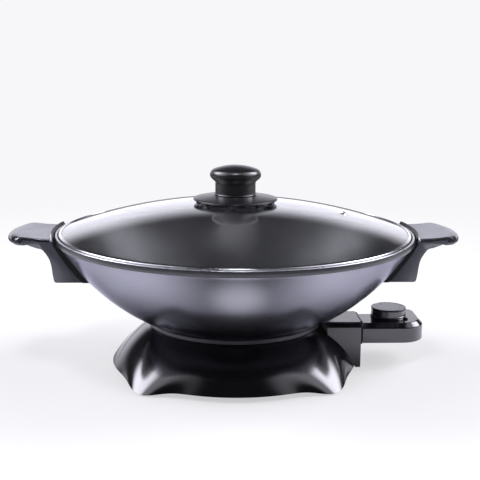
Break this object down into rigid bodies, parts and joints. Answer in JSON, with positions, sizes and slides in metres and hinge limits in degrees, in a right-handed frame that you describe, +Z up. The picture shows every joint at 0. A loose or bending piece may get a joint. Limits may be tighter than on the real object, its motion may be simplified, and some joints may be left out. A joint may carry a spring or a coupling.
{
  "type": "electric wok",
  "caption": "Electric wok: a wide bowl with two side handles on a flared four-toed base, a loose domed glass lid with a knob, and a plug-in dial probe.",
  "frame": {"origin": "on the table under the bowl's axis, at the middle of the assembly's footprint in X and Y", "axes": "+X along the two handles towards the probe, -Y the front, +Z up"},
  "size_m": [0.4488, 0.356, 0.2025],
  "materials": {
    "bowl_coating": "satin grey outside, dark non-stick inside",
    "collar_grey": "satin",
    "gloss_black": "high gloss",
    "under_black": "matt",
    "sheet_steel": "brushed",
    "element_tube": "heat darkened",
    "ceramic": "matt",
    "socket_grey": "satin",
    "rubber": "matt",
    "screw_steel": "plain",
    "handle_grey": "satin",
    "plate_black": "matt",
    "bright_steel": "polished",
    "glass_clear": "clear tempered",
    "knob_black": "satin gloss",
    "seal_grey": "matt",
    "probe_gloss": "gloss",
    "probe_grey": "satin",
    "contact_brass": "plain",
    "thermostat_brown": "matt",
    "lamp_red": "clear tinted",
    "dial_grey": "satin"
  },
  "bodies": {
    "base": {"wok_pan": "bowl_coating", "collar_ring": "collar_grey", "base_shell": "gloss_black", "base_plate": "under_black", "heat_shield": "sheet_steel", "heating_element": "element_tube", "terminal_block": "ceramic", "sensor_well": "sheet_steel", "socket_shroud": "socket_grey", "rubber_feet": "rubber", "base_screws": "screw_steel", "pan_posts": "sheet_steel", "pan_screws": "screw_steel", "left_handle": "handle_grey", "right_handle": "handle_grey", "left_handle_plate": "plate_black", "right_handle_plate": "plate_black", "left_handle_strip": "bright_steel", "right_handle_strip": "bright_steel", "handle_studs": "sheet_steel", "handle_screws": "screw_steel"},
    "lid": {"lid_glass": "glass_clear", "lid_band": "bright_steel", "steam_vent": "bright_steel", "lid_knob": "knob_black", "knob_skirt": "knob_black", "knob_gaskets": "seal_grey", "knob_retainer": "bright_steel", "knob_screw": "screw_steel"},
    "probe": {"probe_top_shell": "probe_gloss", "probe_bottom_shell": "probe_grey", "probe_flange": "gloss_black", "probe_nose": "under_black", "sensor_rod": "bright_steel", "contact_sockets": "contact_brass", "thermostat": "thermostat_brown", "indicator_lamp": "lamp_red", "dial_collar": "gloss_black", "cord_gland": "rubber", "probe_screws": "screw_steel"},
    "dial": {"dial_knob": "dial_grey", "dial_shaft": "screw_steel"}
  },
  "joints": [
    {"name": "lid_lift", "type": "slide", "parent": "base", "child": "lid", "axis": [0, 0, 1], "range_m": [0, 0.12]},
    {"name": "probe_pull", "type": "slide", "parent": "base", "child": "probe", "axis": [1, 0, 0], "range_m": [0, 0.085]},
    {"name": "dial_turn", "type": "hinge", "parent": "probe", "child": "dial", "pos_m": [0.1593, 0.0085, 0.05], "axis": [0, 0, -1], "range_deg": [0, 270]}
  ]
}
